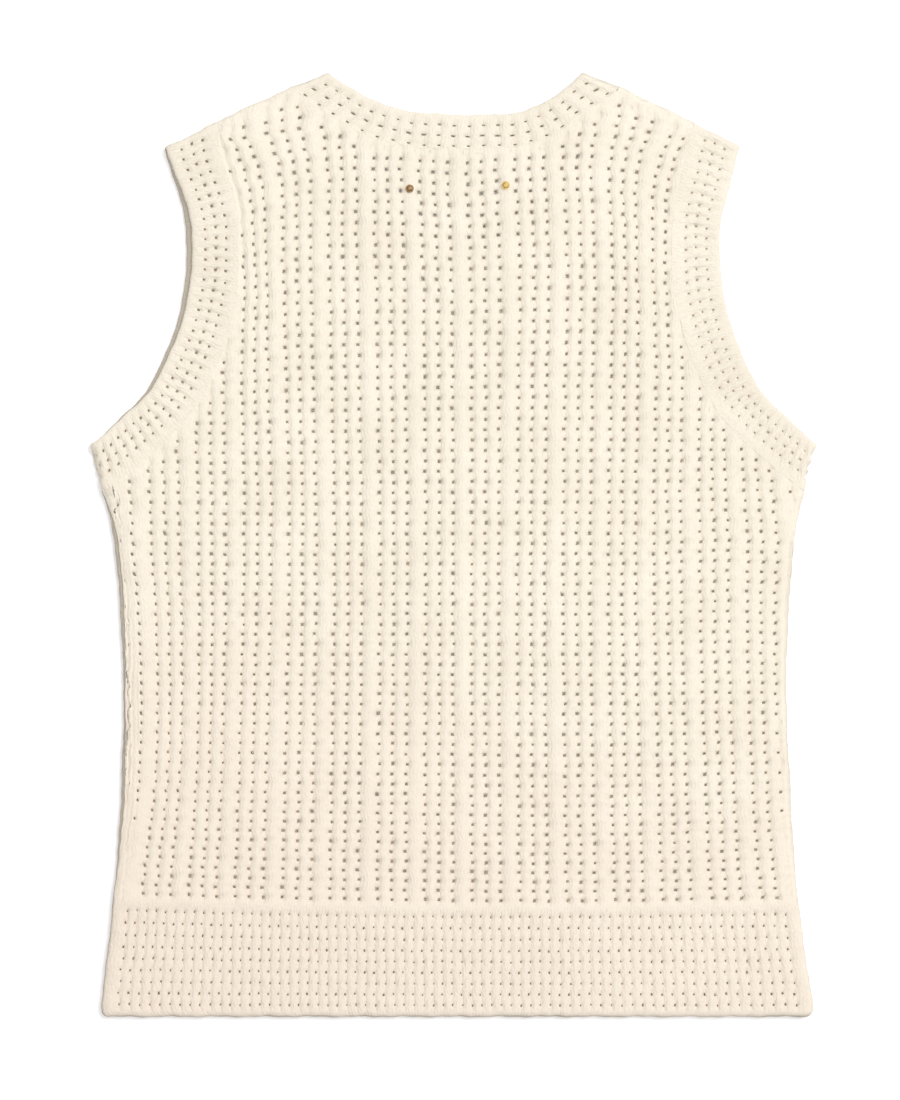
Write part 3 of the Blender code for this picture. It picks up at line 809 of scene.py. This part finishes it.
def body_panel(name, neck, seed, inside, face, shift, material, node):
    """One body panel, knitted to the chart and cut to its outline."""
    outline = Outline(neck)
    gathered = face > inside
    columns = body_columns(gathered)
    half = BODY_EYELET.half_height / USUAL_ROW
    rows = row_lines(range(BODY_ROWS), half, (-1, -0.5))
    eyelets = Eyelets(BODY_EYELET, seed, (USUAL_GROUP, USUAL_ROW), body_openness, body_pinch)
    mesh = chart_sheet(columns, rows, eyelets)
    chart = places_of(mesh)
    flat = body_place(chart[:, 0] + shift[0], chart[:, 1] + shift[1])
    flat[:, 0] -= drawn_in(flat[:, 0], flat[:, 1], float(gathered))
    flat[:, 1] += between_rows(NECK_DROOP, flat[:, 0]) * soft_step(flat[:, 1], *DROOP_BETWEEN)
    for vert, place in zip(mesh.verts, flat):
        vert.co.xy = place
    trim(mesh, outline)
    points = places_of(mesh)[:, :2]
    shares = np.ones(len(points))
    clear = np.ones(len(points))
    sewn = np.zeros(len(points), bool)
    for run, strip in PLAIN_STRIPS.items():
        distance = outline.nearest(points, [run])[0]
        if run in SEWN_RUNS:
            sewn |= distance < SEAM_LINE
        shares = np.minimum(shares, thinned(run, distance))
        clear = np.minimum(clear, distance / strip)
    set_clear(mesh, clear)
    square_seams(mesh, sewn)
    fade = (2 * clear - 1).clip(0.25, 1)
    if gathered:
        gather_edge(mesh, points, outline, shares, fade)
    face_flat(mesh, points, inside, face, shares, fade)
    open_eyelets(mesh, columns, rows, eyelets)
    thicken(mesh, outline.nearest(points, ["side"])[0])
    return cloth_piece(name, mesh, material, node)


# ---- The hem bands ----


def hem_band(name, seed, inside, face, material, node):
    """Half of the hem band, its columns fanned a little at the sides."""
    reach = half_width_at(HEM_BAND_HEIGHT)
    count = round(2 * (reach - HEM_SIDE_PLAIN) / HEM_COLUMN)
    centres = [(index - (count - 1) / 2) * HEM_COLUMN for index in range(count)]
    ribs = [side * (reach - inward) for side in (-1, 1) for inward in HEM_SIDE_LINES]
    columns = column_lines(centres, HEM_EYELET.half_width, HEM_EYELET.bank, ribs)
    rows = row_lines(HEM_ROWS_FROM_EDGE, HEM_EYELET.half_height, HEM_PLAIN_ROWS)
    eyelets = Eyelets(HEM_EYELET, seed, (1, 1), lambda column, row: (HEM_OPEN[row], HEM_OPEN[row], 0.0))
    mesh = chart_sheet(columns, rows, eyelets)
    across, height, _ = places_of(mesh).T
    across = across / reach
    half = half_width_at(height)
    fan = HEM_FAN * (1 - HEM_FAN_FADE * height / HEM_BAND_HEIGHT)
    out = half * (across + fan * (across**3 - across) + HEM_SPREAD * (across**2 - 1))
    shares = np.minimum(thinned("hem_edge", height), thinned("hem_side", half - abs(out)))
    shares = np.minimum(shares, thinned("hem_seam", HEM_BAND_HEIGHT - height))
    set_clear(mesh, np.ones(len(out)))
    square_seams(mesh, height > HEM_BAND_HEIGHT - SEAM_LINE)
    face_flat(mesh, np.column_stack((out, height)), inside, face, shares, np.ones(len(out)))
    open_eyelets(mesh, columns, rows, eyelets)
    far, fast, start = HEM_SHADOW_SWING
    shaded = HEM_SHADOW_FADE * height + far * (1 + np.sin(fast * out + start))
    thicken(mesh, np.minimum(half - abs(out), shaded))
    # painted shadow along the hem's free edge, uneven along it
    painted_edge_shadow = mesh.verts.layers.float["painted_edge_shadow"]
    for vert in mesh.verts:
        near = 1 - vert.co.y / EDGE_SHADOW_TO
        if near > 0:
            edge_darkness = between_rows(HEM_EDGE_SHADOW, vert.co.x) * (1 + waver(SHADOW_WAVER, vert.co.x))
            vert[painted_edge_shadow] = max(vert[painted_edge_shadow], float(near * edge_darkness))
    return cloth_piece(name, mesh, material, node)


# ---- The bands folded round the neck and armholes ----


def ring_stations(upper, lower, start_outward, end_outward):
    """Stations all round a folded band: (edge point, step across, angle round the fold, outward side)."""
    ring = [(*upper[0], 0.0, start_outward)]
    ring += [(*station, 0.0, end_outward) for station in upper[1:]]
    for step in range(1, FOLD_STEPS):
        ring.append((*upper[-1], math.pi * step / FOLD_STEPS, end_outward))
    ring.append((*lower[-1], math.pi, end_outward))
    ring += [(*station, math.pi, start_outward) for station in lower[-2::-1]]
    for step in range(FOLD_STEPS - 1, 0, -1):
        ring.append((*upper[0], math.pi * step / FOLD_STEPS, start_outward))
    ring.append(ring[0])
    return ring


def wall_middle(station, share):
    """The middle of the wall and its outward normal, at a share of the way across a station."""
    edge, across, angle, outward = station
    spot = edge + across * share + outward * FOLD_RADIUS * math.sin(angle)
    level = FOLD_LEVEL + FOLD_RADIUS * math.cos(angle)
    normal = Vector((outward.x * math.sin(angle), outward.y * math.sin(angle), math.cos(angle)))
    return Vector((spot.x, spot.y, level)), normal.normalized()


class Ring:
    """A folded band's surface: places on it by distance round its middle and distance in from its edge."""

    def __init__(self, stations, width):
        self.stations = stations
        self.width = width
        middles = [wall_middle(station, 0.5)[0] for station in stations]
        self.marks = [0.0]
        for first, second in zip(middles, middles[1:]):
            self.marks.append(self.marks[-1] + (second - first).length)
        self.length = self.marks[-1]

    def place(self, round_it, inward):
        round_it %= self.length
        index = int(np.searchsorted(self.marks, round_it, side="right")) - 1
        index = min(index, len(self.marks) - 2)
        share = (round_it - self.marks[index]) / max(self.marks[index + 1] - self.marks[index], 1e-9)
        first, second = self.stations[index], self.stations[index + 1]
        mixed = tuple(a + (b - a) * share for a, b in zip(first, second))
        return wall_middle(mixed, inward / self.width)


def ring_band(name, ring, pitch, row_places, openness, kind, seed, material, node):
    """A band knitted in the round: columns of eyelets across it, round both layers and both folds."""
    count = round(ring.length / pitch)
    step = ring.length / count
    centres = [(index + 0.5) * step for index in range(count)]
    columns = column_lines(centres, kind.half_width, kind.bank, [0.0, ring.length])
    plain = [*RING_PLAIN_ROWS, ring.width]
    last = row_places[-1]
    if ring.width - last > WIDE_PLAIN:
        plain += [last + (ring.width - last) * share for share in WIDE_PLAIN_ROWS]
    rows = row_lines(row_places, kind.half_height, plain)
    eyelets = Eyelets(kind, seed, (1, 1), lambda column, row: (openness[row], openness[row], 0.0))
    mesh = chart_sheet(columns, rows, eyelets)
    round_it, inward, _ = places_of(mesh).T
    middles, outward = zip(*(ring.place(*spot) for spot in zip(round_it, inward)))
    wall = WALL * np.minimum(thinned("ring_edge", inward), thinned("ring_seam", ring.width - inward))
    inner = [middle - normal * thickness / 2 for middle, normal, thickness in zip(middles, outward, wall)]
    set_clear(mesh, np.ones(len(wall)))
    square_seams(mesh, inward > ring.width - SEAM_LINE)
    face_cloth(mesh, inner, outward, wall, np.ones(len(wall)))
    free = mesh.verts.layers.float.new("free")
    for vert, distance in zip(mesh.verts, inward):
        vert[free] = distance
    bmesh.ops.remove_doubles(mesh, verts=mesh.verts, dist=RING_APART)
    open_eyelets(mesh, columns, rows, eyelets)
    thicken(mesh, [vert[free] for vert in mesh.verts])
    piece = cloth_piece(name, mesh, material, node)
    return piece


# ---- Materials ----


class Finish:
    """A material's node tree, built node by node."""

    def __init__(self, name):
        self.material = bpy.data.materials.new(name)
        self.material.use_nodes = True
        self.tree = self.material.node_tree
        self.shader = self.tree.nodes["Principled BSDF"]

    def node(self, kind, settings=None, **inputs):
        made = self.tree.nodes.new(kind)
        for name, value in (settings or {}).items():
            setattr(made, name, value)
        for name, value in inputs.items():
            key = int(name[2:]) if name.startswith("at") else name.replace("_", " ")
            self.set(made.inputs[key], value)
        return made

    def set(self, socket, value):
        if isinstance(value, bpy.types.NodeSocket):
            self.tree.links.new(value, socket)
        elif socket.type == "RGBA":
            socket.default_value = (*value, 1.0)
        else:
            socket.default_value = value

    def shade(self, **inputs):
        for name, value in inputs.items():
            self.set(self.shader.inputs[name.replace("_", " ")], value)

    def noise(self, place, scale, detail, roughness=0.5):
        made = self.node(
            "ShaderNodeTexNoise", Vector=place, Scale=scale, Detail=detail, Roughness=roughness
        )
        return made.outputs["Fac"]

    def kept(self, name):
        """A measure that the mesh keeps at each vertex."""
        return self.node("ShaderNodeAttribute", {"attribute_name": name}).outputs["Fac"]

    def sum(self, operation, first, second=0.0, third=0.0):
        made = self.node("ShaderNodeMath", {"operation": operation}, at0=first, at1=second, at2=third)
        return made.outputs[0]

    def blend(self, share, first, second):
        made = self.node("ShaderNodeMix", {"data_type": "RGBA"}, Factor=share, A=first, B=second)
        return made.outputs["Result"]

    def span(self, value, low, high, to_low=0.0, to_high=1.0):
        made = self.node(
            "ShaderNodeMapRange", Value=value, From_Min=low, From_Max=high, To_Min=to_low, To_Max=to_high
        )
        return made.outputs[0]


def cotton_yarn(name, strand, zigzag, row, raised):
    """Matt cotton yarn: strands along the columns that zigzag from row to row, plies, and a fine nap."""
    finish = Finish(name)
    chart = finish.node("ShaderNodeUVMap", {"uv_map": "Stitches"}).outputs["UV"]
    place = finish.node("ShaderNodeTexCoord").outputs["Object"]
    parts = finish.node("ShaderNodeSeparateXYZ", Vector=chart)
    stray = finish.noise(place, 260.0, 2.0)
    stray = finish.sum("MULTIPLY", finish.sum("SUBTRACT", stray, 0.5), strand * 0.9)
    swing = finish.sum("PINGPONG", parts.outputs["Y"], row)
    out = finish.sum("MULTIPLY_ADD", swing, zigzag, parts.outputs["X"])
    out = finish.sum("ADD", out, stray)
    wave = finish.sum("SINE", finish.sum("MULTIPLY", out, math.tau / strand))
    strands = finish.span(wave, -1.0, 1.0)
    twist = finish.node("ShaderNodeCombineXYZ", X=out, Y=finish.sum("MULTIPLY", parts.outputs["Y"], 0.45))
    plies = finish.noise(twist.outputs[0], 900.0, 2.0)
    nap = finish.noise(place, 3800.0, 3.0, 0.7)
    height = finish.sum("MULTIPLY_ADD", plies, 0.85, finish.sum("MULTIPLY", strands, 0.16))
    height = finish.sum("MULTIPLY_ADD", nap, 0.25, height)
    bump = finish.node("ShaderNodeBump", Strength=0.8, Distance=raised, Height=height)
    patches = finish.noise(place, 24.0, 3.0)
    colour = finish.blend(finish.span(patches, 0.35, 0.65), COTTON, COTTON_PALE)
    dot = {"operation": "DOT_PRODUCT"}
    # pinker and a little darker toward the hem and the left edge
    reach = finish.node("ShaderNodeVectorMath", dot, at0=place, at1=(-0.35, -1.0, 0.0))
    colour = finish.blend(finish.span(reach.outputs["Value"], 0.02, 0.36), colour, COTTON_LOWER_LEFT)
    # painted shade in the low places of the ply bump
    ply_shade = finish.sum("MULTIPLY", finish.span(plies, 0.3, 0.55, 1.0, 0.0), 0.22)
    colour = finish.blend(ply_shade, colour, COTTON_SHADE)
    # painted shade in the knit's hollows, by each vertex's depth
    hollow_shade = finish.span(finish.kept("depth"), 0.0003, 0.0011, 0.0, 0.15)
    colour = finish.blend(hollow_shade, colour, COTTON_SHADE)
    # painted shadow on the front layer's inside near its free edges and along the hem's free edge
    painted_edge_shadow = finish.span(finish.kept("painted_edge_shadow"), 0.0, 0.6, 0.0, 0.75)
    colour = finish.blend(painted_edge_shadow, colour, COTTON_PAINTED_SHADOW)
    rough = finish.span(nap, 0.3, 0.7, 0.84, 0.96)
    finish.shade(Base_Color=colour, Normal=bump.outputs["Normal"], Roughness=rough, Specular_IOR_Level=0.25)
    finish.shade(Sheen_Weight=0.3, Sheen_Roughness=0.55, Sheen_Tint=(1.0, 0.95, 0.86))
    return finish.material


def worn_metal(name, colour, rubbed):
    """Cast metal, mottled between its colour and a brighter rubbed one by a fine grain, with fine scratches.
    """
    finish = Finish(name)
    place = finish.node("ShaderNodeTexCoord").outputs["Object"]
    grain = finish.noise(place, 1600.0, 4.0)
    scratches = finish.noise(place, 5200.0, 2.0)
    tone = finish.blend(finish.span(grain, 0.4, 0.62), colour, rubbed)
    bump = finish.node("ShaderNodeBump", Strength=0.35, Distance=0.00005, Height=scratches)
    rough = finish.span(grain, 0.3, 0.7, 0.72, 0.55)
    finish.shade(Base_Color=tone, Roughness=rough, Normal=bump.outputs["Normal"], Metallic=1.0)
    return finish.material


# ---- The pieces ----


def knit_vest():
    body_yarn = cotton_yarn("ivory_cotton_body", 0.0021, 0.2, USUAL_ROW, 0.00062)
    band_yarn = cotton_yarn("ivory_cotton_band", 0.002, 0.16, 0.0068, 0.00085)
    back_neck, left_outward, right_outward = neck_stations(BACK_NECK_EDGE)
    front_neck = neck_stations(FRONT_NECK_EDGE)[0]
    front = body_panel(
        "front_knit", front_neck, 2, FRONT_INSIDE, FRONT_FACE, (0.13, 0.4), body_yarn, "front_panel"
    )
    back = body_panel("back_knit", back_neck, 1, BACK_INSIDE, BACK_FACE, (0, 0), body_yarn, "back_panel")
    front_hem = hem_band("front_hem_knit", 4, FRONT_INSIDE, FRONT_FACE, band_yarn, "hem_band_front")
    back_hem = hem_band("back_hem_knit", 3, BACK_INSIDE, BACK_FACE, band_yarn, "hem_band_back")
    ring_band(
        "neck_knit",
        Ring(ring_stations(back_neck, front_neck, left_outward, right_outward), NECK_BAND_WIDTH),
        NECK_COLUMN, NECK_ROWS_FROM_EDGE, NECK_OPEN, NECK_EYELET, 5, band_yarn, "neck_band",
    )
    for name, side in (("left", -1), ("right", 1)):
        stations, at_shoulder, at_underarm = arm_stations(side)
        ring_band(
            f"armhole_{name}_knit",
            Ring(ring_stations(stations, stations, at_shoulder, at_underarm), ARM_BAND_WIDTH),
            ARM_COLUMN, ARM_ROWS_FROM_EDGE, ARM_OPEN, ARM_EYELETS[name], 7 + side, band_yarn,
            f"armhole_band_{name}",
        )
    return front, back, front_hem, back_hem


def finish_studs():
    """The CAD studs keep their shape and get worn metal."""
    for node, colour, rubbed in (
        ("stud_left", BRONZE, (0.42, 0.29, 0.16)),
        ("stud_right", BRASS, (0.72, 0.56, 0.27)),
    ):
        metal = worn_metal(f"{node}_metal", colour, rubbed)
        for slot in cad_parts[node].material_slots:
            slot.material = metal


# ---- Floor, light and camera ----


def plain_floor():
    mesh = bmesh.new()
    bmesh.ops.create_grid(mesh, x_segments=1, y_segments=1, size=8)
    bmesh.ops.translate(mesh, verts=mesh.verts, vec=(0, 0, -0.0003))
    data = bpy.data.meshes.new("floor")
    mesh.to_mesh(data)
    mesh.free()
    finish = Finish("pale_floor")
    finish.shade(Base_Color=(0.95, 0.95, 0.95), Roughness=0.9, Specular_IOR_Level=0.1)
    data.materials.append(finish.material)
    add_object("floor", data)


def soft_light(name, place, size, watts):
    """A square lamp that faces the vest."""
    lamp = bpy.data.lights.new(name, "AREA")
    lamp.size = size
    lamp.energy = watts
    holder = add_object(name, lamp)
    holder.location = place
    holder.rotation_euler = (-Vector(place)).to_track_quat("-Z", "Y").to_euler()


def light_and_camera():
    scene = bpy.context.scene
    world = bpy.data.worlds.new("studio")
    world.use_nodes = True
    sky = world.node_tree.nodes["Background"].inputs
    sky["Color"].default_value = (1.0, 1.0, 1.0, 1.0)
    sky["Strength"].default_value = 0.43
    scene.world = world
    soft_light("key", (3.0, 2.1, 4.9), 2.6, 206)
    soft_light("overhead", (0.0, 0.0, 5.0), 0.8, 96)
    camera = bpy.data.cameras.new("camera")
    camera.lens = camera.sensor_width * (CAMERA_HEIGHT - BACK_FACE) / VIEW_HEIGHT
    camera.clip_start = 0.05
    camera.clip_end = 50
    holder = add_object("camera", camera)
    holder.location = (VIEW_CENTRE.x, VIEW_CENTRE.y, CAMERA_HEIGHT)
    scene.camera = holder
    scene.view_settings.view_transform = "Standard"


light_and_camera()
plain_floor()
knit_vest()
finish_studs()
